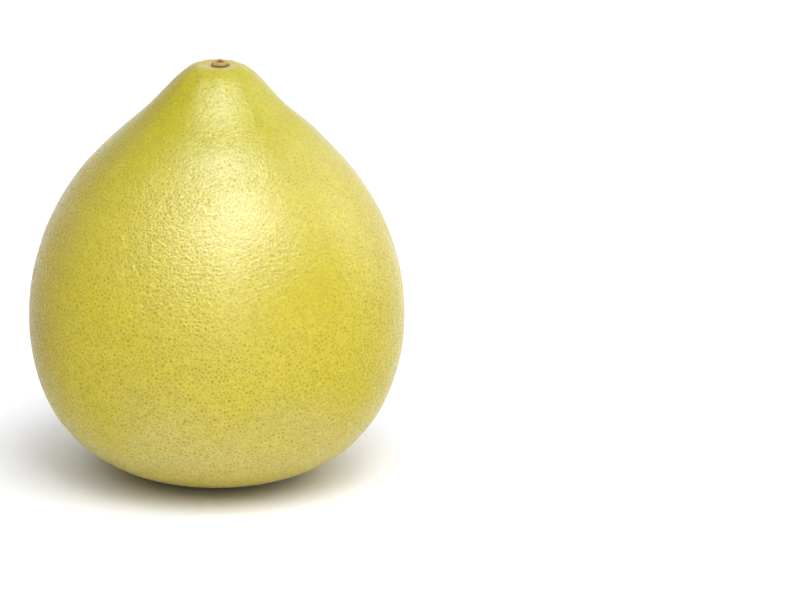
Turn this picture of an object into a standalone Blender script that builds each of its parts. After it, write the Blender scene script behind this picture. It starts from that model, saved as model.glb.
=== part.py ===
"""A whole pomelo resting on its blossom end, with the dry button of its stem in the dip on top.

Lengths are in metres and +Z is up. The origin is the middle of the underside of the object's box.
The fruit is one solid, a turned outline whose skin is raised and sunk by a formula. The button is a
second solid, which sits in the dip at the stem end with a small clearance.
"""

import math
from typing import NamedTuple

import bmesh
import bpy
from mathutils import Vector, noise
from mathutils.geometry import interpolate_bezier

MM = 0.001

# Driving sizes of the fruit
BELLY_RADIUS = 80.0 * MM
BELLY_HEIGHT = 70.5 * MM
SHOULDER_RADIUS = 53.5 * MM
SHOULDER_HEIGHT = 137.5 * MM
NECK_RADIUS = 30.0 * MM
NECK_HEIGHT = 160.5 * MM
CREST_RADIUS = 8.5 * MM
CREST_HEIGHT = 179.5 * MM
FOOT_RADIUS = 11.0 * MM

# The dip at the stem end has a flat seat, and the blossom end keeps a small scar
SEAT_RADIUS = 5.4 * MM
SEAT_DEPTH = 0.6 * MM
SCAR_RADIUS = 4.0 * MM
SCAR_DEPTH = 1.0 * MM

# The neck leans a little to one side
LEAN = 0.4 * MM

# Broad unevenness of the rind, and the finer pebbling on it
LUMP_SPAN = 46.0 * MM
LUMP_PLACE = Vector((3.1, 5.7, 11.7))
LUMP_HEIGHT = 0.6 * MM
PEBBLE_SPAN = 13.0 * MM
PEBBLE_HEIGHT = 0.25 * MM
STILL_FOOT_HEIGHT = 1.5 * MM
FULL_RELIEF_HEIGHT = 16.0 * MM

# Shallow furrows run out of the dip and die away down the neck
FURROW_COUNT = 11
FURROW_DEPTH = 0.3 * MM
FURROW_WANDER = 0.22
FURROW_PEAK_RADIUS = 13.0 * MM
FURROW_END_RADIUS = 34.0 * MM

# The button: a low domed disc with five blunt lobes, and the broken stub of the stalk
CLEARANCE = 0.3 * MM
BUTTON_RADIUS = 3.9 * MM
BUTTON_EDGE = 0.3 * MM
BUTTON_HEIGHT = 0.9 * MM
BUTTON_SLANT = 0.5
BUTTON_OFFSET = 0.9 * MM
LOBE_COUNT = 5
LOBE_SHARE = 0.06
STUB_RADIUS = 1.35 * MM
STUB_TIP_RADIUS = 0.85 * MM
STUB_HEIGHT = 2.3 * MM
STUB_BACK = 1.2 * MM
STUB_BREAK = 0.5 * MM

# How finely the forms are divided
FRUIT_STEPS = 88
RING_SPACING = 5.2 * MM
BUTTON_STEPS = 35
STUB_SIDES = 14
MERGE_DISTANCE = 0.00001

# Base colour, roughness and specular level of each material
RIND_FINISH = ((0.60, 0.52, 0.07), 0.42, 0.5)
CORK_FINISH = ((0.42, 0.26, 0.12), 0.85, 0.3)


class Knot(NamedTuple):
    """A point of a turned outline, with the curve's heading and its pull to either side.

    A heading of 0 degrees runs outwards, -90 down and 180 back to the axis.
    """

    radius: float
    height: float
    heading: float = 0.0
    pull_before: float = 0.0
    pull_after: float = 0.0

    def point(self):
        """The knot in the outline's plane."""
        return Vector((self.radius, 0.0, self.height))

    def along(self, distance):
        """The point at this distance from the knot along its heading."""
        turn = math.radians(self.heading)
        return self.point() + distance * Vector((math.cos(turn), 0.0, math.sin(turn)))


FRUIT_OUTLINE = (
    Knot(0.0, CREST_HEIGHT - SEAT_DEPTH),
    Knot(SEAT_RADIUS, CREST_HEIGHT - SEAT_DEPTH, 0.0, 0.0, 1.5 * MM),
    Knot(CREST_RADIUS, CREST_HEIGHT, 0.0, 1.5 * MM, 6.5 * MM),
    Knot(NECK_RADIUS, NECK_HEIGHT, -42.5, 8.5 * MM, 11.5 * MM),
    Knot(SHOULDER_RADIUS, SHOULDER_HEIGHT, -48.5, 20.0 * MM, 14.5 * MM),
    Knot(BELLY_RADIUS, BELLY_HEIGHT, -90.0, 32.5 * MM, 41.5 * MM),
    Knot(FOOT_RADIUS, 0.0, 180.0, 45.5 * MM, 0.0),
    Knot(SCAR_RADIUS, 0.0, 150.0, 0.0, 1.0 * MM),
    Knot(0.0, SCAR_DEPTH, 180.0, 1.5 * MM, 0.0),
)

BUTTON_OUTLINE = (
    Knot(0.0, BUTTON_HEIGHT, 0.0, 0.0, 1.6 * MM),
    Knot(BUTTON_RADIUS, BUTTON_EDGE, -75.0, 1.4 * MM, 0.0),
    Knot(0.96 * BUTTON_RADIUS, 0.0),
    Knot(0.0, 0.0),
)


def fade_in(value, start, end):
    """A smooth step from 0 at start to 1 at end."""
    share = min(max((value - start) / (end - start), 0.0), 1.0)
    return share * share * (3.0 - 2.0 * share)


def outline_points(knots, spacing):
    """Points down a turned outline, from the top of the axis to its bottom."""
    points = [knots[0].point()]
    for upper, lower in zip(knots, knots[1:]):
        pull_out = upper.along(upper.pull_after)
        pull_in = lower.along(-lower.pull_before)
        stretch = [upper.point(), pull_out, pull_in, lower.point()]
        straight = not upper.pull_after and not lower.pull_before
        length = sum((b - a).length for a, b in zip(stretch, stretch[1:]))
        count = 1 if straight else max(3, round(length / spacing))
        points += interpolate_bezier(*stretch, count + 1)[1:]
    return points


def evaluated_copy(source, name):
    """A mesh of the object with its modifiers applied and its doubles merged."""
    graph = bpy.context.evaluated_depsgraph_get()
    mesh = bpy.data.meshes.new_from_object(source.evaluated_get(graph))
    mesh.name = name
    shape = bmesh.new()
    shape.from_mesh(mesh)
    bmesh.ops.remove_doubles(shape, verts=shape.verts, dist=MERGE_DISTANCE)
    shape.to_mesh(mesh)
    shape.free()
    return mesh


def remove_object(item):
    """Removes a helper object and its mesh."""
    mesh = item.data
    bpy.data.objects.remove(item)
    bpy.data.meshes.remove(mesh)


def turned_mesh(name, knots, spacing, steps):
    """A closed mesh, the outline turned once round the Z axis."""
    points = outline_points(knots, spacing)
    edges = [(i, i + 1) for i in range(len(points) - 1)]
    profile = bpy.data.meshes.new(name + "_profile")
    profile.from_pydata(points, edges, [])
    guide = bpy.data.objects.new(name + "_profile", profile)
    bpy.context.scene.collection.objects.link(guide)
    screw = guide.modifiers.new("turn", "SCREW")
    screw.axis = "Z"
    screw.angle = math.tau
    screw.steps = steps
    screw.render_steps = steps
    screw.use_merge_vertices = True
    screw.merge_threshold = MERGE_DISTANCE
    mesh = evaluated_copy(guide, name)
    remove_object(guide)
    return mesh


def rind_relief(point):
    """How far the rind stands proud of the turned form at a point of it."""
    around = math.hypot(point.x, point.y)
    if point.z > SHOULDER_HEIGHT:
        share = fade_in(around, SEAT_RADIUS, FURROW_PEAK_RADIUS)
    else:
        share = fade_in(point.z, STILL_FOOT_HEIGHT, FULL_RELIEF_HEIGHT)
    lump = LUMP_HEIGHT * noise.noise(point / LUMP_SPAN + LUMP_PLACE)
    pebble = PEBBLE_HEIGHT * noise.noise(point / PEBBLE_SPAN)
    return share * (lump + pebble) - furrow_depth(point, around)


def furrow_depth(point, around):
    """The depth at a point of the furrows that run out of the dip, deepest on the crest's flank."""
    if point.z < SHOULDER_HEIGHT:
        return 0.0
    wander = FURROW_WANDER * noise.noise(point / NECK_RADIUS)
    angle = math.atan2(point.y, point.x) + wander
    wave = 0.5 + 0.5 * math.cos(FURROW_COUNT * angle)
    rise = fade_in(around, SEAT_RADIUS, FURROW_PEAK_RADIUS)
    fall = 1.0 - fade_in(around, FURROW_PEAK_RADIUS, FURROW_END_RADIUS)
    return FURROW_DEPTH * wave * rise * fall


def raise_rind(mesh):
    """Moves each point of the rind along its normal, then leans the neck."""
    moves = [(vertex, rind_relief(vertex.co) * vertex.normal) for vertex in mesh.vertices]
    for vertex, move in moves:
        vertex.co += move
        vertex.co.x += LEAN * (vertex.co.z / CREST_HEIGHT) ** 2


def shape_button(mesh):
    """Draws the disc's edge into blunt lobes, and slants its dome so that it is higher behind."""
    for vertex in mesh.vertices:
        if vertex.co.z > BUTTON_EDGE:
            dome = vertex.co.z - BUTTON_EDGE
            vertex.co.z += BUTTON_SLANT * dome * vertex.co.y / BUTTON_RADIUS
        angle = math.atan2(vertex.co.y, vertex.co.x)
        reach = math.hypot(vertex.co.x, vertex.co.y) / BUTTON_RADIUS
        scale = 1.0 + LOBE_SHARE * reach * math.cos(LOBE_COUNT * angle)
        vertex.co.x *= scale
        vertex.co.y *= scale


def stub_object():
    """The stalk's stub, a tapered peg whose top is broken off unevenly."""
    shape = bmesh.new()
    bmesh.ops.create_cone(
        shape,
        cap_ends=True,
        segments=STUB_SIDES,
        radius1=STUB_RADIUS,
        radius2=STUB_TIP_RADIUS,
        depth=STUB_HEIGHT - BUTTON_EDGE,
    )
    middle = 0.5 * (STUB_HEIGHT + BUTTON_EDGE)
    for vertex in shape.verts:
        if vertex.co.z > 0.0:
            vertex.co.z -= STUB_BREAK * (0.5 - 0.5 * vertex.co.y / STUB_TIP_RADIUS)
        vertex.co += Vector((0.0, STUB_BACK, middle))
    mesh = bpy.data.meshes.new("stub")
    shape.to_mesh(mesh)
    shape.free()
    stub = bpy.data.objects.new("stub", mesh)
    bpy.context.scene.collection.objects.link(stub)
    return stub


def button_mesh():
    """The disc and the stub joined in one closed mesh, standing on the seat."""
    disc_mesh = turned_mesh("disc", BUTTON_OUTLINE, 0.75 * MM, BUTTON_STEPS)
    shape_button(disc_mesh)
    disc = bpy.data.objects.new("disc", disc_mesh)
    bpy.context.scene.collection.objects.link(disc)
    stub = stub_object()
    union = disc.modifiers.new("stub", "BOOLEAN")
    union.operation = "UNION"
    union.solver = "EXACT"
    union.object = stub
    mesh = evaluated_copy(disc, "stem_button")
    remove_object(disc)
    remove_object(stub)
    seat = CREST_HEIGHT - SEAT_DEPTH + CLEARANCE
    for vertex in mesh.vertices:
        vertex.co += Vector((LEAN + BUTTON_OFFSET, 0.0, seat))
    return mesh


def finish_material(name, finish):
    """A Principled material of this base colour, roughness and specular level."""
    colour, roughness, specular = finish
    material = bpy.data.materials.new(name)
    material.use_nodes = True
    shader = material.node_tree.nodes["Principled BSDF"]
    shader.inputs["Base Color"].default_value = (*colour, 1.0)
    shader.inputs["Roughness"].default_value = roughness
    shader.inputs["Metallic"].default_value = 0.0
    shader.inputs["Specular IOR Level"].default_value = specular
    return material


def centre_on_origin(meshes):
    """Moves the meshes together so that the origin is the middle of their box's underside."""
    points = [vertex.co for mesh in meshes for vertex in mesh.vertices]
    middle_x = 0.5 * (min(p.x for p in points) + max(p.x for p in points))
    middle_y = 0.5 * (min(p.y for p in points) + max(p.y for p in points))
    shift = Vector((-middle_x, -middle_y, -min(p.z for p in points)))
    for point in points:
        point += shift


def clear_scene():
    """Removes every object of the scene."""
    for item in list(bpy.data.objects):
        bpy.data.objects.remove(item)


def main():
    """Builds the fruit and its button in a collection of their own."""
    clear_scene()
    fruit = turned_mesh("fruit", FRUIT_OUTLINE, RING_SPACING, FRUIT_STEPS)
    raise_rind(fruit)
    button = button_mesh()
    centre_on_origin((fruit, button))
    collection = bpy.data.collections.new("pomelo")
    bpy.context.scene.collection.children.link(collection)
    for mesh, finish in ((fruit, RIND_FINISH), (button, CORK_FINISH)):
        mesh.materials.append(finish_material(mesh.name + "_material", finish))
        mesh.shade_smooth()
        collection.objects.link(bpy.data.objects.new(mesh.name, mesh))


main()
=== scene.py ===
"""A whole pomelo on a pale floor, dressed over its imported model.

Everything is in metres with +Z up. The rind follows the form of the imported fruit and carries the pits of
its oil glands as real relief. The dry button of the stem sits in the dip on top.
"""

import logging
import math
from dataclasses import dataclass
from enum import Enum
from typing import Union

import bmesh
import bpy
import numpy as np
from mathutils import Matrix, Vector, noise


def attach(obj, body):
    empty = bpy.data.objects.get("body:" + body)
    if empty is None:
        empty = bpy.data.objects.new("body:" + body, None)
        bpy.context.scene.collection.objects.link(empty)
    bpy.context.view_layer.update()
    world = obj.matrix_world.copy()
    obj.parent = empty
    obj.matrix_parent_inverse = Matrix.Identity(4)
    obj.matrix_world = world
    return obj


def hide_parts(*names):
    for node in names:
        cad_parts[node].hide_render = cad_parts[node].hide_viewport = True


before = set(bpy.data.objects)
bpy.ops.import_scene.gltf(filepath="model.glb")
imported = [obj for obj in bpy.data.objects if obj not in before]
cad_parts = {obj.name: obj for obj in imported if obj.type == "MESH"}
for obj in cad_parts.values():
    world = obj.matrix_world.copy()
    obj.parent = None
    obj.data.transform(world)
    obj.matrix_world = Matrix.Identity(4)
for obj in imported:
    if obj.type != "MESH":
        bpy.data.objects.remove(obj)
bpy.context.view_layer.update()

MM = 0.001
MAP_NAME = "OFBake"
PIT = "pit"
GLAND = "gland"
CALM = "calm"
EDGE = "edge"
STALK = "stalk"
BROKEN = "broken"
log = logging.getLogger("pomelo")

Triple = tuple[float, float, float]
Value = Union[float, int, bool, str, tuple, Vector, bpy.types.NodeSocket, bpy.types.Material]


class Body(Enum):
    """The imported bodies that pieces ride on."""

    ROOT = "root"


class Slot(Enum):
    """The material slots of the record."""

    RIND = "rind"
    CORK = "cork"


class Graph:
    """Adds nodes to a tree and joins their sockets, for shaders and Geometry Nodes alike."""

    def __init__(self, tree: bpy.types.NodeTree) -> None:
        """Starts on an empty tree.

        Args:
            tree: The node tree that is filled.
        """
        self.tree = tree
        tree.nodes.clear()

    def add(self, kind: str, inputs: dict | None = None, **settings: Value) -> bpy.types.Node:
        """Adds a node.

        Args:
            kind: The node's type name.
            inputs: Values or sockets by input name or number.
            settings: The node's own properties.

        Returns:
            The new node.
        """
        node = self.tree.nodes.new(kind)
        for name, value in settings.items():
            setattr(node, name, value)
        for key, value in (inputs or {}).items():
            self.fill(node.inputs[key], value)
        return node

    def fill(self, socket: bpy.types.NodeSocket, value: Value) -> None:
        """Joins a socket to another, or sets its constant.

        Args:
            socket: The input that is filled.
            value: A socket to read from, or a constant.
        """
        if isinstance(value, bpy.types.NodeSocket):
            self.tree.links.new(value, socket)
        else:
            socket.default_value = value

    def math(self, operation: str, *values: Value) -> bpy.types.NodeSocket:
        """The result of a Math node on one to three values."""
        return self.add("ShaderNodeMath", dict(enumerate(values)), operation=operation).outputs[0]

    def vector(self, operation: str, *values: Value) -> bpy.types.NodeSocket:
        """The first vector or number that a Vector Math node gives for one or two vectors."""
        node = self.add("ShaderNodeVectorMath", dict(enumerate(values)), operation=operation)
        return node.outputs["Value" if operation in ("LENGTH", "DISTANCE") else "Vector"]

    def scaled(self, vector: Value, share: Value) -> bpy.types.NodeSocket:
        """A vector times a number."""
        node = self.add("ShaderNodeVectorMath", {0: vector, "Scale": share}, operation="SCALE")
        return node.outputs["Vector"]

    def step(self, value: Value, start: float, end: float, low: float = 0.0,
             high: float = 1.0) -> bpy.types.NodeSocket:
        """A smooth step of a value.

        Args:
            value: The value that is read.
            start: Where the step begins.
            end: Where it ends; it may lie below start.
            low: What the step gives before its start.
            high: What it gives past its end.

        Returns:
            The socket with the stepped value.
        """
        if start > end:
            start, end, low, high = end, start, high, low
        inputs = {"Value": value, 1: start, 2: end, 3: low, 4: high}
        return self.add("ShaderNodeMapRange", inputs, interpolation_type="SMOOTHSTEP").outputs["Result"]

    def grain(self, place: Value, span: float, detail: float = 2.0,
              roughness: float = 0.5) -> bpy.types.NodeSocket:
        """A noise from 0 to 1 whose features are a span across.

        Args:
            place: The point that the noise is read at.
            span: The size of a feature in metres.
            detail: How many finer layers are added.
            roughness: How strong the finer layers are.

        Returns:
            The socket with the noise.
        """
        inputs = {"Vector": place, "Scale": 1.0 / span, "Detail": detail, "Roughness": roughness}
        return self.add("ShaderNodeTexNoise", inputs).outputs[0]

    def mix(self, share: Value, first: Value, second: Value, blend: str = "MIX") -> bpy.types.NodeSocket:
        """A mix of two colours."""
        inputs = {"Factor": share, 6: first, 7: second}
        node = self.add("ShaderNodeMix", inputs, data_type="RGBA", blend_type=blend)
        return node.outputs[2]

    def parts(self, vector: Value) -> tuple[bpy.types.NodeSocket, ...]:
        """The three coordinates of a vector."""
        return tuple(self.add("ShaderNodeSeparateXYZ", {0: vector}).outputs)


def colour(red: float, green: float, blue: float) -> tuple[float, float, float, float]:
    """An opaque colour from its linear parts."""
    return (red, green, blue, 1.0)


def new_material(name: str) -> tuple[bpy.types.Material, Graph, bpy.types.Node]:
    """A material with only a Principled shader.

    Args:
        name: The material's name.

    Returns:
        The material, the graph to fill it with, and its shader.
    """
    material = bpy.data.materials.new(name)
    material.use_nodes = True
    graph = Graph(material.node_tree)
    shader = graph.add("ShaderNodeBsdfPrincipled")
    output = graph.add("ShaderNodeOutputMaterial")
    graph.fill(output.inputs["Surface"], shader.outputs[0])
    return material, graph, shader


@dataclass(frozen=True)
class RindFinish:
    """The waxy yellow-green skin, darker and duller in its pits."""

    name: str = "pomelo_rind"
    light: Triple = (0.592, 0.489, 0.000)
    deep: Triple = (0.420, 0.342, 0.000)
    # Paler tones towards the base: partly the skin's own tone, partly painted light and a painted reflection of the
    # white floor.
    low_light: Triple = (0.643, 0.542, 0.165)
    low_deep: Triple = (0.470, 0.399, 0.075)
    pit_tint: Triple = (0.80, 0.785, 0.18)
    neck_tint: Triple = (0.82, 0.865, 0.55)
    # Paler, greener upper part: partly a greener tone, partly painted sheen from the lights above.
    upper_tone_and_painted_sheen: Triple = (0.565, 0.515, 0.17)
    upper_tone_and_sheen_share: float = 0.26
    upper_tone_and_sheen_start: float = 72.0 * MM
    upper_tone_and_sheen_end: float = 128.0 * MM
    collar: Triple = (0.49, 0.41, 0.135)
    collar_radius: float = 8.5 * MM
    # The corky seam round the button, darkened further as painted shade in the gap.
    seam: Triple = (0.36, 0.25, 0.08)
    scar: Triple = (0.30, 0.19, 0.07)
    speck: Triple = (0.55, 0.53, 0.25)
    # Painted shade at the foot: the skin darker and more saturated just above the floor's contact shadow.
    foot: Triple = (0.95, 0.90, 0.14)
    foot_start: float = 4.0 * MM
    foot_end: float = 24.0 * MM
    limb_end: float = 50.0 * MM
    specks: tuple[tuple[Triple, float, float], ...] = (
        ((0.5 * MM, -60.4 * MM, 128.9 * MM), 1.0 * MM, 0.5),
        ((24.1 * MM, -64.7 * MM, 114.2 * MM), 0.7 * MM, 0.6),
        ((-11.2 * MM, -75.9 * MM, 45.1 * MM), 0.6 * MM, 0.9),
        ((1.3 * MM, -76.9 * MM, 46.0 * MM), 0.6 * MM, 0.75),
    )
    roughness: float = 0.50
    pit_roughness: float = 0.55
    wax_roughness: float = 0.33
    wax_index: float = 2.03
    wax_depth: float = 0.88 * MM
    wax_gap: float = 0.6
    wax_edge: float = 0.45
    wax_limb: float = 0.5
    sheen: float = 0.42
    sheen_roughness: float = 0.3
    wax_mottle: float = 0.2
    wax_below: float = 0.72
    wax_start: float = 45.0 * MM
    wax_end: float = 118.0 * MM
    wax_neck: float = 0.75
    wax_neck_start: float = 146.0 * MM
    wax_neck_end: float = 160.0 * MM
    faint_gland: float = 0.32
    wrinkle_span: float = 2.2 * MM
    wrinkle_share: float = 3.6
    grain_share: float = 0.6
    cheek: Triple = (29.0 * MM, -62.0 * MM, 114.0 * MM)
    cheek_radius: float = 38.0 * MM
    cheek_relief: float = 0.42
    button_centre: Triple = (0.00097, 0.0, 0.1795)
    seam_radius: float = 4.2 * MM
    scar_radius: float = 4.0 * MM
    specular: float = 0.0
    pale_top: float = 42.0 * MM
    # Painted sheen: the right side paler, standing in for the lights' reflection on that side.
    right_painted_sheen: float = 0.3
    # Painted shade: the left side, away from the lights, darker and warmer above the base.
    left_painted_shade: Triple = (0.78, 0.71, 0.78)
    side_start: float = 0.72
    patch_span: float = 34.0 * MM
    mottle_span: float = 7.0 * MM
    grain_span: float = 0.6 * MM
    neck_height: float = 142.0 * MM
    freckle_span: float = 1.6 * MM
    patch_share: float = 0.45
    mottle_share: float = 0.55
    freckle_share: float = 1.3
    pit_share: float = 0.15
    bump_depth: float = 0.20 * MM

    def make(self) -> bpy.types.Material:
        """Builds the material.

        Returns:
            The finished material.
        """
        material, graph, shader = new_material(self.name)
        place = graph.add("ShaderNodeTexCoord").outputs["Object"]
        pit = graph.add("ShaderNodeAttribute", attribute_name=PIT).outputs["Fac"]
        gland = graph.add("ShaderNodeAttribute", attribute_name=GLAND).outputs["Fac"]
        wrinkle, calm = self.wrinkle(graph, place)
        fine = graph.grain(place, self.grain_span, 2.0, 0.6)
        ragged = graph.math("ADD", pit, graph.math("MULTIPLY", graph.math("SUBTRACT", fine, 0.5), 0.7))
        bowl = graph.math("MULTIPLY", graph.step(ragged, 0.25, 0.82), calm)
        freckle = graph.grain(place, self.freckle_span, 2.0, 0.55)
        strength = graph.step(gland, 0.35, 1.0, self.faint_gland, 1.0)
        strength = graph.math("ADD", strength, graph.step(freckle, 0.62, 0.38, -0.15, 0.35))
        dark = graph.math("MULTIPLY", bowl, graph.step(strength, 0.0, 1.2, 0.0, 1.2))
        tone = self.skin_tone(graph, place, freckle, dark)
        tone = graph.mix(graph.math("MINIMUM", dark, 1.0), tone, colour(*self.pit_tint), "MULTIPLY")
        tone = self.marks(graph, place, tone, fine)
        graph.fill(shader.inputs["Base Color"], tone)
        dull = graph.math("MULTIPLY_ADD", dark, self.pit_roughness - self.roughness, self.roughness)
        dull = graph.math("MULTIPLY_ADD", graph.grain(place, self.mottle_span), 0.08, dull)
        graph.fill(shader.inputs["Roughness"], graph.math("SUBTRACT", dull, 0.04))
        shader.inputs["Specular IOR Level"].default_value = self.specular
        graph.fill(shader.inputs["Coat Weight"], self.wax_cover(graph, place, bowl, gland, freckle))
        shader.inputs["Sheen Weight"].default_value = self.sheen
        shader.inputs["Sheen Roughness"].default_value = self.sheen_roughness
        shader.inputs["Coat Roughness"].default_value = self.wax_roughness
        shader.inputs["Coat IOR"].default_value = self.wax_index
        graph.fill(shader.inputs["Normal"], self.bump(graph, wrinkle, pit, gland, fine))
        graph.fill(shader.inputs["Coat Normal"], self.wax(graph, wrinkle, calm, pit, fine))
        return material

    def skin_tone(self, graph: Graph, place: bpy.types.NodeSocket, freckle: bpy.types.NodeSocket,
                  dark: bpy.types.NodeSocket) -> bpy.types.NodeSocket:
        """The skin's colour between a light and a deep yellow-green.

        Args:
            graph: The material's graph.
            place: The point on the object.
            freckle: The finest mottle.
            dark: How much of a pit a point has.

        Returns:
            The colour, with broad patches and a mottle of two scales. It is paler towards the base, partly the
            skin's own tone and partly painted light and a painted reflection of the floor; paler on the right side
            as a painted sheen; and darker on the left side as painted shade. The foot is darker as painted shade,
            and the upper part is paler and greener, partly a greener tone and partly painted sheen.
        """
        broad = graph.grain(place, self.patch_span, 1.0)
        mottle = graph.grain(place, self.mottle_span, 2.0, 0.6)
        share = graph.math("MULTIPLY_ADD", broad, self.patch_share, 0.5)
        share = graph.math("MULTIPLY_ADD", mottle, self.mottle_share, share)
        share = graph.math("MULTIPLY_ADD", freckle, self.freckle_share, share)
        share = graph.math("MULTIPLY_ADD", dark, -self.pit_share, share)
        middle = 0.5 * (self.patch_share + self.mottle_share + self.freckle_share) - 0.4 * self.pit_share
        share = graph.add("ShaderNodeMath", {0: share, 1: middle}, operation="SUBTRACT", use_clamp=True).outputs[0]
        high = graph.mix(share, colour(*self.deep), colour(*self.light))
        low = graph.mix(share, colour(*self.low_deep), colour(*self.low_light))
        z = graph.parts(place)[2]
        turned = graph.parts(graph.vector("NORMALIZE", graph.vector("MULTIPLY", place, (1.0, 1.0, 0.0))))[0]
        height = graph.math("MULTIPLY_ADD", broad, self.pale_top, z)
        # Paler towards the base, partly own tone and partly painted light and floor reflection, and paler on the
        # right side as painted sheen.
        pale = graph.math("MAXIMUM", graph.step(height, 2.05 * self.pale_top, 0.8 * self.pale_top),
                          graph.step(turned, self.side_start, 1.0, 0.0, self.right_painted_sheen))
        tone = graph.mix(pale, high, low)
        # Painted shade at the foot, above the floor's contact shadow.
        tone = graph.mix(graph.step(z, self.foot_end, self.foot_start), tone, colour(*self.foot), "MULTIPLY")
        # Painted shade on the left side, away from the lights.
        left_painted_shade = graph.math("MULTIPLY", graph.step(turned, -self.side_start, -1.0),
                               graph.step(height, 1.1 * self.pale_top, 2.1 * self.pale_top))
        tone = graph.mix(left_painted_shade, tone, colour(*self.left_painted_shade), "MULTIPLY")
        # Paler, greener upper part: a greener tone and painted sheen from the lights above.
        upper_tone_and_painted_sheen = graph.step(z, self.upper_tone_and_sheen_start, self.upper_tone_and_sheen_end, 0.0, self.upper_tone_and_sheen_share)
        tone = graph.mix(upper_tone_and_painted_sheen, tone, colour(*self.upper_tone_and_painted_sheen))
        neck = graph.step(height, self.neck_height, self.neck_height + self.pale_top)
        return graph.mix(neck, tone, colour(*self.neck_tint), "MULTIPLY")

    def marks(self, graph: Graph, place: bpy.types.NodeSocket, tone: bpy.types.NodeSocket,
              fine: bpy.types.NodeSocket) -> bpy.types.NodeSocket:
        """The specks, the beige collar and corky seam round the button, the seam partly painted shade in the gap,
        and the scar underneath.

        Args:
            graph: The material's graph.
            place: The point on the object.
            tone: The skin's colour so far.
            fine: The fine grain, which frays the marks' edges.

        Returns:
            The colour with the marks.
        """
        wobble = graph.math("MULTIPLY", graph.math("SUBTRACT", fine, 0.5), 1.2 * MM)
        for centre, reach, strength in self.specks:
            away = graph.math("ADD", graph.vector("DISTANCE", place, centre), wobble)
            near = graph.step(away, 1.5 * reach, 0.5 * reach, 0.0, strength)
            tone = graph.mix(near, tone, colour(*self.speck), "MULTIPLY")
        from_button = graph.vector("DISTANCE", place, self.button_centre)
        from_button = graph.math("ADD", from_button, wobble)
        collar = graph.step(from_button, self.collar_radius + 4.0 * MM, self.collar_radius - 4.0 * MM, 0.0, 0.9)
        patchy = graph.step(graph.grain(place, 0.7 * self.mottle_span, 2.0), 0.3, 0.6, 0.55, 1.0)
        collar = graph.math("MULTIPLY", collar, patchy)
        tone = graph.mix(collar, tone, colour(*self.collar))
        # The corky seam, partly painted shade in the gap round the button.
        seam = graph.step(from_button, self.seam_radius + 0.3 * MM, self.seam_radius - 0.3 * MM)
        tone = graph.mix(seam, tone, colour(*self.seam))
        from_scar = graph.math("ADD", graph.vector("LENGTH", place), wobble)
        scar = graph.step(from_scar, self.scar_radius + 0.6 * MM, self.scar_radius - 0.6 * MM)
        return graph.mix(scar, tone, colour(*self.scar))

    def wax_cover(self, graph: Graph, place: bpy.types.NodeSocket, bowl: bpy.types.NodeSocket,
                  gland: bpy.types.NodeSocket, freckle: bpy.types.NodeSocket) -> bpy.types.NodeSocket:
        """How much wax lies on the skin: thin in the pits and below, and uneven between the pits.

        Args:
            graph: The material's graph.
            place: The point on the object.
            bowl: How far inside a pit a point lies.
            gland: A number of each gland's own.
            freckle: The finest mottle.

        Returns:
            The share of the wax, which shines less where it is seen aslant and more again along the outline.
        """
        share = graph.step(gland, 0.0, 1.0, 0.5 * self.wax_gap, self.wax_gap)
        open_skin = graph.math("MULTIPLY", bowl, share)
        even = graph.step(freckle, 0.35, 0.65, 1.0 - self.wax_mottle, 1.0)
        even = graph.math("MULTIPLY", even, graph.math("SUBTRACT", 1.0, open_skin))
        facing = graph.add("ShaderNodeLayerWeight", {"Blend": 0.5}).outputs["Facing"]
        shine = graph.step(facing, -0.05, 0.62, 1.0, self.wax_edge)
        height = graph.parts(place)[2]
        limb = graph.math("MULTIPLY", graph.step(facing, 0.62, 0.9, 0.0, self.wax_limb),
                          graph.step(height, self.foot_start, self.limb_end))
        shine = graph.math("ADD", shine, limb)
        even = graph.math("MULTIPLY", even, shine)
        neck = graph.step(height, self.wax_neck_start, self.wax_neck_end, 1.0, self.wax_neck)
        even = graph.math("MULTIPLY", even, neck)
        return graph.math("MULTIPLY", even, graph.step(height, self.wax_start, self.wax_end, self.wax_below, 1.0))

    def wrinkle(self, graph: Graph,
                place: bpy.types.NodeSocket) -> tuple[bpy.types.NodeSocket, bpy.types.NodeSocket]:
        """The low wrinkles between the pits, a little wider than they are tall, calmer on one cheek and on the neck.

        Args:
            graph: The material's graph.
            place: The point on the object.

        Returns:
            The wrinkles, and how much relief a point has.
        """
        squeezed = graph.vector("MULTIPLY", place, (1.0, 1.0, 1.4))
        ripple = graph.math("SUBTRACT", graph.grain(squeezed, self.wrinkle_span, 2.0, 0.6), 0.5)
        away = graph.vector("DISTANCE", place, self.cheek)
        away = graph.math("MULTIPLY_ADD", graph.grain(place, self.patch_span, 1.0), self.patch_span, away)
        cheek = graph.step(away, self.cheek_radius, 1.9 * self.cheek_radius, self.cheek_relief, 1.0)
        height = graph.parts(place)[2]
        neck = graph.step(height, self.neck_height - 15.0 * MM, self.neck_height + 10.0 * MM, 1.0, self.cheek_relief)
        calm = graph.math("MINIMUM", cheek, neck)
        return graph.math("MULTIPLY", ripple, calm), calm

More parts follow.
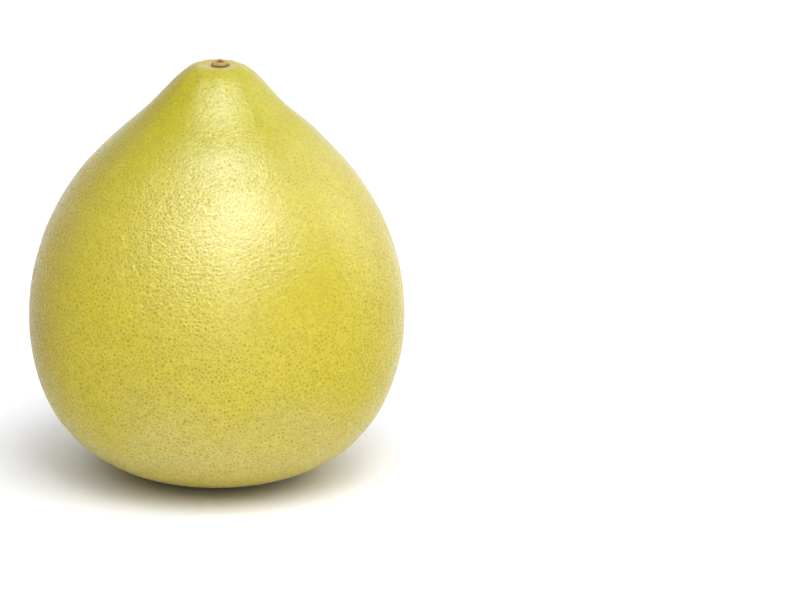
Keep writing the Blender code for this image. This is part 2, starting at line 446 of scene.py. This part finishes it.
    def bump(self, graph: Graph, wrinkle: bpy.types.NodeSocket, pit: bpy.types.NodeSocket,
             gland: bpy.types.NodeSocket, fine: bpy.types.NodeSocket) -> bpy.types.NodeSocket:
        """The skin's normal with round-bottomed pits, low wrinkles and a fine grain.

        Args:
            graph: The material's graph.
            wrinkle: The low wrinkles.
            pit: 1 in the middle of a gland and 0 at its rim.
            gland: A number of each gland's own.
            fine: The fine grain.

        Returns:
            The socket with the bent normal.
        """
        bowl = graph.math("MULTIPLY", graph.step(pit, 0.0, 1.0), graph.step(gland, 0.0, 1.0, 0.35, 1.0))
        height = graph.math("MULTIPLY", bowl, -1.0)
        height = graph.math("MULTIPLY_ADD", wrinkle, self.wrinkle_share, height)
        height = graph.math("MULTIPLY_ADD", fine, self.grain_share, height)
        inputs = {"Strength": 1.0, "Distance": self.bump_depth, "Height": height}
        return graph.add("ShaderNodeBump", inputs).outputs[0]

    def wax(self, graph: Graph, wrinkle: bpy.types.NodeSocket, calm: bpy.types.NodeSocket,
            pit: bpy.types.NodeSocket, fine: bpy.types.NodeSocket) -> bpy.types.NodeSocket:
        """The wax's normal, which bridges the pits and follows the wrinkles.

        Args:
            graph: The material's graph.
            wrinkle: The low wrinkles.
            calm: How much relief a point has.
            pit: 1 in the middle of a gland and 0 at its rim.
            fine: The fine grain.

        Returns:
            The socket with the bent normal.
        """
        smooth = graph.add("ShaderNodeAttribute", attribute_name=CALM).outputs["Vector"]
        turned = graph.add("ShaderNodeVectorTransform", {0: smooth}, vector_type="NORMAL",
                           convert_from="OBJECT", convert_to="WORLD").outputs[0]
        height = graph.math("MULTIPLY_ADD", fine, 0.05, graph.math("MULTIPLY", graph.step(pit, 0.0, 1.0), -0.1))
        height = graph.math("MULTIPLY", height, calm)
        height = graph.math("MULTIPLY_ADD", wrinkle, 1.0, height)
        inputs = {"Strength": 1.0, "Distance": self.wax_depth, "Height": height, "Normal": turned}
        return graph.add("ShaderNodeBump", inputs).outputs[0]


@dataclass(frozen=True)
class CorkFinish:
    """The dry button: tan cork with a dark brown edge, and the stalk's dark bark with a pale break."""

    name: str = "pomelo_button_cork"
    tan: Triple = (0.49, 0.29, 0.11)
    brown: Triple = (0.31, 0.19, 0.06)
    bark: Triple = (0.22, 0.11, 0.035)
    pale: Triple = (0.46, 0.38, 0.25)
    roughness: float = 0.85

    def make(self) -> bpy.types.Material:
        """Builds the material.

        Returns:
            The finished material.
        """
        material, graph, shader = new_material(self.name)
        place = graph.add("ShaderNodeTexCoord").outputs["Object"]
        edge, stalk, broken = (
            graph.add("ShaderNodeAttribute", attribute_name=name).outputs["Fac"] for name in (EDGE, STALK, BROKEN)
        )
        coarse = graph.grain(place, 1.3 * MM, 3.0, 0.6)
        fine = graph.grain(place, 0.25 * MM, 2.0, 0.6)
        share = graph.math("ADD", edge, graph.math("MULTIPLY", graph.math("SUBTRACT", coarse, 0.5), 0.7))
        tone = graph.mix(graph.step(share, 0.25, 0.75), colour(*self.tan), colour(*self.brown))
        tone = graph.mix(stalk, tone, colour(*self.bark))
        tone = graph.mix(broken, tone, colour(*self.pale))
        shade = graph.step(fine, 0.3, 0.7, 0.72, 1.1)
        tone = graph.mix(1.0, tone, graph.add("ShaderNodeCombineXYZ", {0: shade, 1: shade, 2: shade}).outputs[0],
                         "MULTIPLY")
        graph.fill(shader.inputs["Base Color"], tone)
        shader.inputs["Roughness"].default_value = self.roughness
        shader.inputs["Specular IOR Level"].default_value = 0.3
        bump = graph.add("ShaderNodeBump", {"Distance": 0.12 * MM, "Height": fine})
        graph.fill(shader.inputs["Normal"], bump.outputs[0])
        return material


@dataclass(frozen=True)
class FloorFinish:
    """A plain white studio floor."""

    name: str = "studio_floor"
    white: Triple = (0.90, 0.905, 0.95)
    roughness: float = 0.9

    def make(self) -> bpy.types.Material:
        """Builds the material.

        Returns:
            The finished material.
        """
        material, graph, shader = new_material(self.name)
        place = graph.add("ShaderNodeTexCoord").outputs["Object"]
        shade = graph.step(graph.grain(place, 0.6), 0.2, 0.8, 0.99, 1.0)
        grey = graph.add("ShaderNodeCombineXYZ", {0: shade, 1: shade, 2: shade}).outputs[0]
        graph.fill(shader.inputs["Base Color"], graph.mix(1.0, colour(*self.white), grey, "MULTIPLY"))
        shader.inputs["Roughness"].default_value = self.roughness
        shader.inputs["Specular IOR Level"].default_value = 0.2
        return material


def evaluated_mesh(source: bpy.types.Object, name: str) -> bpy.types.Mesh:
    """The mesh of an object with its modifiers applied.

    Args:
        source: The object whose modifiers are evaluated.
        name: The new mesh's name.

    Returns:
        A plain mesh.
    """
    graph = bpy.context.evaluated_depsgraph_get()
    mesh = bpy.data.meshes.new_from_object(source.evaluated_get(graph), depsgraph=graph)
    mesh.name = name
    return mesh


def new_object(name: str, mesh: bpy.types.Mesh) -> bpy.types.Object:
    """An object of the scene at the origin.

    Args:
        name: The object's name.
        mesh: Its mesh.

    Returns:
        The object.
    """
    item = bpy.data.objects.new(name, mesh)
    bpy.context.scene.collection.objects.link(item)
    return item


def discard(item: bpy.types.Object) -> None:
    """Removes a helper object and its mesh."""
    mesh = item.data
    bpy.data.objects.remove(item)
    bpy.data.meshes.remove(mesh)


@dataclass(frozen=True)
class GlandSkin:
    """The Geometry Nodes tree that covers a closed form with the pits of oil glands.

    Points are scattered on the form, and the cells round them become six-sided fans whose middles sink.
    """

    gap: float = 1.16 * MM
    density: float = 1300000.0
    seed: int = 5
    heart: Triple = (0.0, 0.0, 0.078)
    pit_depth: float = 0.20 * MM
    ridge_height: float = 0.05 * MM
    wrinkle_height: float = 0.16 * MM
    wrinkle_span: float = 4.2 * MM
    drift: float = 0.0028
    calm_foot: float = 7.0 * MM
    calm_crest: float = 9.0 * MM
    crest_height: float = 0.1795

    def sockets(self, tree: bpy.types.NodeTree) -> dict[str, float | int | Vector]:
        """Adds the tree's named inputs.

        Args:
            tree: The tree that gets them.

        Returns:
            The value of each input by its identifier.
        """
        wanted = (
            ("Gland Gap", "NodeSocketFloat", self.gap),
            ("Gland Density", "NodeSocketFloat", self.density),
            ("Seed", "NodeSocketInt", self.seed),
            ("Heart", "NodeSocketVector", Vector(self.heart)),
            ("Pit Depth", "NodeSocketFloat", self.pit_depth),
            ("Ridge Height", "NodeSocketFloat", self.ridge_height),
            ("Wrinkle Height", "NodeSocketFloat", self.wrinkle_height),
            ("Drift", "NodeSocketFloat", self.drift),
        )
        tree.interface.new_socket(name="Geometry", in_out="INPUT", socket_type="NodeSocketGeometry")
        tree.interface.new_socket(name="Geometry", in_out="OUTPUT", socket_type="NodeSocketGeometry")
        values = {}
        for name, kind, value in wanted:
            socket = tree.interface.new_socket(name=name, in_out="INPUT", socket_type=kind)
            values[socket.identifier] = value
        return values

    def cells(self, graph: Graph, given: bpy.types.Node) -> bpy.types.NodeSocket:
        """The cells of the glands on a unit sphere, each a fan round its middle.

        Args:
            graph: The tree's graph.
            given: The node with the tree's inputs.

        Returns:
            The socket with the mesh of fans.
        """
        scatter = graph.add(
            "GeometryNodeDistributePointsOnFaces",
            {
                "Mesh": given.outputs["Geometry"],
                "Distance Min": given.outputs["Gland Gap"],
                "Density Max": given.outputs["Gland Density"],
                "Seed": given.outputs["Seed"],
            },
            distribute_method="POISSON",
        )
        place = graph.add("GeometryNodeInputPosition").outputs[0]
        outwards = graph.vector("NORMALIZE", graph.vector("SUBTRACT", place, given.outputs["Heart"]))
        ball = graph.add("GeometryNodeSetPosition", {"Geometry": scatter.outputs["Points"], "Position": outwards})
        hull = graph.add("GeometryNodeConvexHull", {0: ball.outputs[0]})
        dual = graph.add("GeometryNodeDualMesh", {0: hull.outputs[0]})
        chance = graph.add("FunctionNodeRandomValue", {8: given.outputs["Seed"]}, data_type="FLOAT")
        named = graph.add(
            "GeometryNodeStoreNamedAttribute",
            {"Geometry": dual.outputs[0], "Name": GLAND, "Value": chance.outputs[1]},
            data_type="FLOAT",
            domain="FACE",
        )
        inner = graph.add("GeometryNodeExtrudeMesh", {"Mesh": named.outputs[0], "Offset Scale": 0.0}, mode="FACES")
        middles = graph.add(
            "GeometryNodeStoreNamedAttribute",
            {"Geometry": inner.outputs["Mesh"], "Name": PIT, "Value": inner.outputs["Top"]},
            data_type="FLOAT",
            domain="POINT",
        )
        fans = graph.add(
            "GeometryNodeScaleElements",
            {"Geometry": middles.outputs[0], "Selection": inner.outputs["Top"], "Scale": 0.0},
        )
        merged = graph.add("GeometryNodeMergeByDistance", {"Geometry": fans.outputs[0], "Distance": 0.00001})
        return merged.outputs[0]

    def on_form(self, graph: Graph, given: bpy.types.Node, cells: bpy.types.NodeSocket) -> bpy.types.NodeSocket:
        """Moves the cells from the unit sphere out to the form, their middles a little off centre.

        Args:
            graph: The tree's graph.
            given: The node with the tree's inputs.
            cells: The fans on the unit sphere.

        Returns:
            The socket with the mesh on the form.
        """
        place = graph.add("GeometryNodeInputPosition").outputs[0]
        pit = graph.add("GeometryNodeInputNamedAttribute", {"Name": PIT}, data_type="FLOAT").outputs[0]
        stray = graph.add(
            "FunctionNodeRandomValue",
            {0: (-1.0, -1.0, -1.0), 1: (1.0, 1.0, 1.0), 8: given.outputs["Seed"]},
            data_type="FLOAT_VECTOR",
        )
        shift = graph.scaled(stray.outputs[0], graph.math("MULTIPLY", pit, given.outputs["Drift"]))
        outwards = graph.vector("NORMALIZE", graph.vector("ADD", place, shift))
        hit = graph.add(
            "GeometryNodeRaycast",
            {
                "Target Geometry": given.outputs["Geometry"],
                "Source Position": given.outputs["Heart"],
                "Ray Direction": outwards,
                "Ray Length": 1.0,
            },
        )
        placed = graph.add("GeometryNodeSetPosition", {"Geometry": cells, "Position": hit.outputs["Hit Position"]})
        return placed.outputs[0]

    def relief(self, graph: Graph, given: bpy.types.Node, skin: bpy.types.NodeSocket) -> bpy.types.NodeSocket:
        """Sinks the middles into pits, and raises ridges and low wrinkles between them.

        Args:
            graph: The tree's graph.
            given: The node with the tree's inputs.
            skin: The mesh on the form.

        Returns:
            The socket with the skin in relief.
        """
        place = graph.add("GeometryNodeInputPosition").outputs[0]
        normal = graph.add("GeometryNodeInputNormal").outputs[0]
        skin = graph.add("GeometryNodeStoreNamedAttribute", {"Geometry": skin, "Name": CALM, "Value": normal},
                         data_type="FLOAT_VECTOR", domain="POINT").outputs[0]
        pit = graph.add("GeometryNodeInputNamedAttribute", {"Name": PIT}, data_type="FLOAT").outputs[0]
        gland = graph.add("GeometryNodeInputNamedAttribute", {"Name": GLAND}, data_type="FLOAT").outputs[0]
        depth = graph.math("MULTIPLY", graph.step(gland, 0.0, 1.0, 0.35, 1.0), given.outputs["Pit Depth"])
        squeezed = graph.vector("MULTIPLY", place, (1.0, 1.0, 1.4))
        wrinkle = graph.math("SUBTRACT", graph.grain(squeezed, self.wrinkle_span, 1.0), 0.5)
        height = graph.math("MULTIPLY_ADD", wrinkle, given.outputs["Wrinkle Height"], given.outputs["Ridge Height"])
        height = graph.math("SUBTRACT", height, graph.math("MULTIPLY", pit, depth))
        x, y, z = graph.parts(place)
        foot = graph.step(z, 1.0 * MM, self.calm_foot)
        axis = graph.vector("LENGTH", graph.add("ShaderNodeCombineXYZ", {0: x, 1: y}).outputs[0])
        below = graph.step(z, self.crest_height - 4.0 * MM, self.crest_height - 8.0 * MM)
        crest = graph.math("MAXIMUM", below, graph.step(axis, 5.0 * MM, self.calm_crest))
        height = graph.math("MULTIPLY", height, graph.math("MULTIPLY", foot, crest))
        moved = graph.add("GeometryNodeSetPosition", {"Geometry": skin, "Offset": graph.scaled(normal, height)})
        return moved.outputs[0]

    def cover(self, form: bpy.types.Object, material: bpy.types.Material, name: str) -> bpy.types.Mesh:
        """Covers a form with glands.

        Args:
            form: The object with the smooth form.
            material: What the skin is made of.
            name: The new mesh's name.

        Returns:
            The skin as a plain mesh.
        """
        tree = bpy.data.node_groups.new("oil_gland_skin", "GeometryNodeTree")
        values = self.sockets(tree)
        graph = Graph(tree)
        given = graph.add("NodeGroupInput")
        skin = self.relief(graph, given, self.on_form(graph, given, self.cells(graph, given)))
        smooth = graph.add("GeometryNodeSetShadeSmooth", {"Geometry": skin})
        real = graph.add("GeometryNodeRealizeInstances", {0: smooth.outputs[0]})
        dressed = graph.add("GeometryNodeSetMaterial", {"Geometry": real.outputs[0], "Material": material})
        graph.add("NodeGroupOutput", {0: dressed.outputs[0]})
        modifier = form.modifiers.new("glands", "NODES")
        modifier.node_group = tree
        for identifier, value in values.items():
            modifier[identifier] = value
        mesh = evaluated_mesh(form, name)
        form.modifiers.remove(modifier)
        return mesh


@dataclass
class Rind:
    """The fruit's skin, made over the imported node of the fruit."""

    node: str = "fruit"
    name: str = "pomelo_rind"
    weld: float = 0.001 * MM
    smoothing: int = 1
    skin: GlandSkin = GlandSkin()
    finish: RindFinish = RindFinish()
    map_edge: float = 0.97

    def form(self) -> bpy.types.Object:
        """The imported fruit's smooth form, as four-sided faces under a subdivision.

        Returns:
            A helper object.
        """
        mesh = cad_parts[self.node].data.copy()
        shape = bmesh.new()
        shape.from_mesh(mesh)
        bmesh.ops.remove_doubles(shape, verts=shape.verts, dist=self.weld)
        bmesh.ops.join_triangles(shape, faces=shape.faces, angle_face_threshold=0.35, angle_shape_threshold=3.1)
        shape.to_mesh(mesh)
        shape.free()
        form = new_object("rind_form", mesh)
        smooth = form.modifiers.new("smooth", "SUBSURF")
        smooth.levels = self.smoothing
        smooth.render_levels = self.smoothing
        return form

    def lay_out_map(self, mesh: bpy.types.Mesh) -> None:
        """Lays the skin out on a map as the six sides of a box round the fruit's heart.

        Args:
            mesh: The skin's mesh, which gets the map.
        """
        count = len(mesh.loops)
        places = np.empty(3 * len(mesh.vertices))
        mesh.vertices.foreach_get("co", places)
        places = places.reshape(-1, 3) - np.array(self.skin.heart)
        corner = np.empty(count, int)
        mesh.loops.foreach_get("vertex_index", corner)
        starts = np.empty(len(mesh.polygons), int)
        totals = np.empty(len(mesh.polygons), int)
        mesh.polygons.foreach_get("loop_start", starts)
        mesh.polygons.foreach_get("loop_total", totals)
        face = np.repeat(np.arange(len(starts)), totals)
        rays = places[corner]
        middles = np.add.reduceat(rays, starts) / totals[:, None]
        axis = np.abs(middles).argmax(1)
        positive = middles[np.arange(len(axis)), axis] > 0.0
        axis, positive = axis[face], positive[face]
        rows = np.arange(count)
        ahead = np.abs(rays[rows, axis])
        across = np.arctan2(rays[rows, (axis + 1) % 3], ahead) * self.map_edge / math.pi
        along = np.arctan2(rays[rows, (axis + 2) % 3], ahead) * self.map_edge / math.pi
        u = (axis + 0.5 + 2.0 * across) / 3.0
        v = (positive + 0.5 + 2.0 * along) / 2.0
        layer = mesh.uv_layers.new(name=MAP_NAME)
        layer.data.foreach_set("uv", np.stack((u, v), 1).ravel())

    def build(self) -> bpy.types.Object:
        """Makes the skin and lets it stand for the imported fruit.

        Returns:
            The finished piece.
        """
        form = self.form()
        mesh = self.skin.cover(form, self.finish.make(), self.name)
        discard(form)
        self.lay_out_map(mesh)
        piece = new_object(self.name, mesh)
        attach(piece, Body.ROOT.value)
        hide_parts(self.node)
        return piece


@dataclass
class StemButton:
    """The dry button in the dip: a corky disc with five blunt lobes and the stalk's broken stub."""

    node: str = "stem_button"
    name: str = "stem_button_cork"
    centre: Triple = (0.97 * MM, -0.05 * MM, 179.2 * MM)
    radius: float = 3.9 * MM
    rim: float = 0.3 * MM
    dome: float = 0.80 * MM
    slant: float = 0.5
    tilt: float = 0.25 * MM
    lobes: int = 5
    lobe_share: float = 0.06
    sides: int = 120
    rings: int = 26
    stub_radius: float = 1.45 * MM
    stub_tip: float = 0.6 * MM
    stub_height: float = 2.3 * MM
    stub_back: float = 0.9 * MM
    stub_break: float = 0.5 * MM
    stub_sides: int = 48
    stub_rings: int = 14
    finish: CorkFinish = CorkFinish()

    def reach(self, angle: float) -> float:
        """How far the disc's edge lies from its middle at an angle."""
        ragged = 0.02 * noise.noise(Vector((3.0 * math.cos(angle), 3.0 * math.sin(angle), 4.0)))
        return self.radius * (1.0 + self.lobe_share * math.cos(self.lobes * angle) + ragged)

    def disc_point(self, share: float, angle: float) -> Vector:
        """A point of the disc's top.

        Args:
            share: How far out it lies, from 0 in the middle to 1 at the edge.
            angle: Its direction from the middle.

        Returns:
            The point, from the middle of the disc's underside.
        """
        reach = share * self.reach(angle)
        x, y = reach * math.cos(angle), reach * math.sin(angle)
        dome = self.dome * (1.0 - share ** 2.6)
        dome *= 1.0 + self.slant * y / self.radius
        wave = math.sin(self.lobes * 3.0 * angle + 2.0 * noise.noise(Vector((x, y, 0.0)) * 700.0))
        crease = 0.06 * MM * wave * share * (1.0 - share)
        pore = 0.10 * MM * noise.noise(Vector((x, y, 2.0)) / (0.8 * MM)) * (1.0 - share ** 6)
        grit = 0.04 * MM * noise.noise(Vector((x, y, 5.0)) / (0.3 * MM)) * (1.0 - share ** 6)
        lean = 0.5 * self.tilt * (1.0 + y / self.radius)
        return Vector((x, y, self.rim + lean + dome + crease + pore + grit))

    def disc(self) -> bpy.types.Mesh:
        """The closed mesh of the disc."""
        shape = bmesh.new()
        middle = shape.verts.new(self.disc_point(0.0, 0.0))
        loops = []
        for ring in range(1, self.rings + 1):
            share = (ring / self.rings) ** 0.8
            loop = []
            for side in range(self.sides):
                loop.append(shape.verts.new(self.disc_point(share, math.tau * side / self.sides)))
            loops.append(loop)
        for share in (0.985, 0.94):
            loop = []
            for side in range(self.sides):
                angle = math.tau * side / self.sides
                reach = share * self.reach(angle)
                height = 0.12 * MM if share > 0.96 else 0.0
                loop.append(shape.verts.new((reach * math.cos(angle), reach * math.sin(angle), height)))
            loops.append(loop)
        for side in range(self.sides):
            after = (side + 1) % self.sides
            shape.faces.new((middle, loops[0][side], loops[0][after]))
            for inner, outer in zip(loops, loops[1:]):
                shape.faces.new((inner[side], outer[side], outer[after], inner[after]))
        shape.faces.new(list(reversed(loops[-1])))
        return self.finished(shape, "button_disc")

    def stub(self) -> bpy.types.Mesh:
        """The closed mesh of the stub, fibrous along its side and broken off unevenly."""
        shape = bmesh.new()
        loops = []
        for ring in range(self.stub_rings + 1):
            share = ring / self.stub_rings
            loop = []
            for side in range(self.stub_sides):
                angle = math.tau * side / self.stub_sides
                fibre = 1.0 + 0.07 * noise.noise(Vector((6.0 * math.cos(angle), 6.0 * math.sin(angle), share)))
                reach = (self.stub_radius + (self.stub_tip - self.stub_radius) * share ** 0.7) * fibre
                x, y = reach * math.cos(angle), reach * math.sin(angle)
                top = self.stub_height - self.stub_break * (0.5 - 0.5 * y / self.stub_tip)
                top += 0.16 * MM * noise.noise(Vector((5.0 * math.cos(angle), 5.0 * math.sin(angle), 9.0)))
                top = min(top, self.stub_height)
                loop.append(shape.verts.new((x, y + self.stub_back, self.rim + (top - self.rim) * share)))
            loops.append(loop)
        crown = [loops[-1]]
        for share in (0.7, 0.35):
            loop = []
            for outer in loops[-1]:
                x, y = share * outer.co.x, self.stub_back + share * (outer.co.y - self.stub_back)
                drop = 0.18 * MM * (0.5 + noise.noise(Vector((x, y, 0.0)) / (0.35 * MM)))
                loop.append(shape.verts.new((x, y, outer.co.z - drop)))
            crown.append(loop)
        tip = shape.verts.new((0.0, self.stub_back, self.stub_height - 0.5 * self.stub_break - 0.1 * MM))
        for side in range(self.stub_sides):
            after = (side + 1) % self.stub_sides
            for lower, upper in zip(loops + crown[1:], loops[1:] + crown[1:]):
                shape.faces.new((lower[side], lower[after], upper[after], upper[side]))
            shape.faces.new((crown[-1][side], crown[-1][after], tip))
        shape.faces.new(list(reversed(loops[0])))
        return self.finished(shape, "button_stub")

    def finished(self, shape: bmesh.types.BMesh, name: str) -> bpy.types.Mesh:
        """Turns a built shape into a mesh whose faces look outwards.

        Args:
            shape: The shape, which is freed.
            name: The mesh's name.

        Returns:
            The mesh.
        """
        bmesh.ops.recalc_face_normals(shape, faces=shape.faces)
        mesh = bpy.data.meshes.new(name)
        shape.to_mesh(mesh)
        shape.free()
        return mesh

    def mark(self, mesh: bpy.types.Mesh) -> None:
        """Marks the disc's dark edge, the stub's bark and its pale break on the joined mesh.

        Args:
            mesh: The mesh of both, still with the disc's middle at the origin.
        """
        edge, stalk, broken = (mesh.attributes.new(name, "FLOAT", "POINT").data for name in (EDGE, STALK, BROKEN))
        for index, vertex in enumerate(mesh.vertices):
            x, y, z = vertex.co
            angle = math.atan2(y, x)
            share = math.hypot(x, y) / self.reach(angle)
            edge[index].value = min(1.0, max(0.0, (share - 0.70) / 0.16))
            above = z - self.disc_point(min(share, 1.0), angle).z
            from_stub = math.hypot(x, y - self.stub_back)
            stalk[index].value = min(1.0, max(0.0, 4.5 - 3.5 * from_stub / self.stub_radius))
            broken[index].value = 1.0 if from_stub < 0.8 * self.stub_tip and above > 0.3 * MM else 0.0

    def build(self) -> bpy.types.Object:
        """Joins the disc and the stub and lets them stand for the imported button.

        Returns:
            The finished piece.
        """
        disc = new_object("disc", self.disc())
        stub = new_object("stub", self.stub())
        union = disc.modifiers.new("stub", "BOOLEAN")
        union.operation = "UNION"
        union.solver = "EXACT"
        union.object = stub
        mesh = evaluated_mesh(disc, self.name)
        discard(disc)
        discard(stub)
        self.mark(mesh)
        mesh.transform(Matrix.Translation(Vector(self.centre)))
        mesh.materials.clear()
        mesh.materials.append(self.finish.make())
        mesh.shade_smooth()
        piece = new_object(self.name, mesh)
        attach(piece, Body.ROOT.value)
        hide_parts(self.node)
        return piece


@dataclass(frozen=True)
class SoftLight:
    """A square soft light that looks at the fruit."""

    name: str
    turn: float
    height: float
    distance: float
    side: float
    power: float
    tint: Triple = (1.0, 1.0, 1.0)

    def place(self, target: Vector) -> None:
        """Hangs the light.

        Args:
            target: The point that it looks at.
        """
        data = bpy.data.lights.new(self.name, "AREA")
        data.shape = "SQUARE"
        data.size = self.side
        data.energy = self.power
        data.color = self.tint
        turn, height = math.radians(self.turn), math.radians(self.height)
        away = Vector((math.sin(turn) * math.cos(height), -math.cos(turn) * math.cos(height), math.sin(height)))
        light = bpy.data.objects.new(self.name, data)
        light.location = target + self.distance * away
        light.rotation_euler = away.to_track_quat("Z", "Y").to_euler()
        bpy.context.scene.collection.objects.link(light)


@dataclass
class Studio:
    """The pale floor, the soft lights, the white surroundings and the camera."""

    floor_half: float = 9.0
    surroundings: float = 0.11
    backdrop: float = 1.25
    backdrop_top: float = 0.6
    backdrop_left: float = -0.9
    target: Triple = (0.0, 0.0, 0.0897)
    target_pixel: tuple[float, float] = (217.2, 268.99)
    picture: tuple[int, int] = (800, 600)
    elevation: float = 16.0
    roll: float = 0.6
    distance: float = 3.024
    lens: float = 320.0
    sensor: float = 36.0
    lights: tuple[SoftLight, ...] = (
        SoftLight("key_light", 39.0, 57.0, 4.0, 3.6, 105.0),
        SoftLight("high_front_light", 26.0, 66.0, 4.0, 2.6, 33.0),
        SoftLight("low_front_light", 10.0, 15.0, 4.0, 2.0, 22.0),
        SoftLight("fill_light", -20.0, 58.0, 4.0, 4.0, 100.0),
        SoftLight("edge_light", 118.0, 28.0, 4.0, 2.8, 43.0),
        SoftLight("back_light", 180.0, 45.0, 4.0, 4.0, 28.0),
    )
    finish: FloorFinish = FloorFinish()

    def floor(self) -> None:
        """Lays the floor, which isn't part of the object."""
        half = self.floor_half
        mesh = bpy.data.meshes.new("floor")
        corners = [(-half, -half, 0.0), (half, -half, 0.0), (half, half, 0.0), (-half, half, 0.0)]
        mesh.from_pydata(corners, [], [(0, 1, 2, 3)])
        mesh.materials.append(self.finish.make())
        new_object("floor", mesh)

    def world(self) -> None:
        """Surrounds the scene with dim white light and a bright white backdrop behind the fruit."""
        world = bpy.data.worlds.new("white_surroundings")
        world.use_nodes = True
        graph = Graph(world.node_tree)
        across, behind, above = graph.parts(graph.add("ShaderNodeTexCoord").outputs["Generated"])
        shine = graph.math("MULTIPLY", graph.step(behind, 0.0, 0.5), graph.step(above, self.backdrop_top, 0.1))
        shine = graph.math("MULTIPLY", shine, graph.step(across, self.backdrop_left, -0.4, 0.1, 1.0))
        strength = graph.math("MULTIPLY_ADD", shine, self.backdrop - self.surroundings, self.surroundings)
        background = graph.add("ShaderNodeBackground", {"Color": colour(1.0, 1.0, 1.0), "Strength": strength})
        graph.add("ShaderNodeOutputWorld", {"Surface": background.outputs[0]})
        bpy.context.scene.world = world

    def camera(self) -> None:
        """Sets the camera so that the target falls on its pixel."""
        data = bpy.data.cameras.new("camera")
        data.lens = self.lens
        data.sensor_width = self.sensor
        data.clip_end = 60.0
        tilt, roll = math.radians(self.elevation), math.radians(self.roll)
        ahead = Vector((0.0, math.cos(tilt), -math.sin(tilt)))
        right = Vector((1.0, 0.0, 0.0))
        up = right.cross(ahead)
        right, up = (
            math.cos(roll) * right + math.sin(roll) * up,
            math.cos(roll) * up - math.sin(roll) * right,
        )
        per_pixel = self.sensor / self.picture[0] / self.lens * self.distance
        across = (self.target_pixel[0] - 0.5 * self.picture[0]) * per_pixel
        above = (0.5 * self.picture[1] - self.target_pixel[1]) * per_pixel
        place = Vector(self.target) - self.distance * ahead - across * right - above * up
        camera = bpy.data.objects.new("camera", data)
        turn = Matrix((right, up, -ahead)).transposed()
        camera.matrix_world = Matrix.Translation(place) @ turn.to_4x4()
        bpy.context.scene.collection.objects.link(camera)
        bpy.context.scene.camera = camera

    def build(self) -> None:
        """Sets up everything round the object."""
        self.floor()
        self.world()
        for light in self.lights:
            light.place(Vector(self.target))
        self.camera()
        bpy.context.scene.view_settings.view_transform = "Standard"
        bpy.context.scene.view_settings.look = "None"


def main() -> None:
    """Builds the pomelo and its studio in order."""
    logging.basicConfig(level=logging.INFO, format="%(name)s: %(message)s")
    Studio().build()
    for builder in (Rind(), StemButton()):
        piece = builder.build()
        count = sum(len(face.vertices) - 2 for face in piece.data.polygons)
        log.info("%s has %d triangles", piece.name, count)


if __name__ == "__main__":
    main()
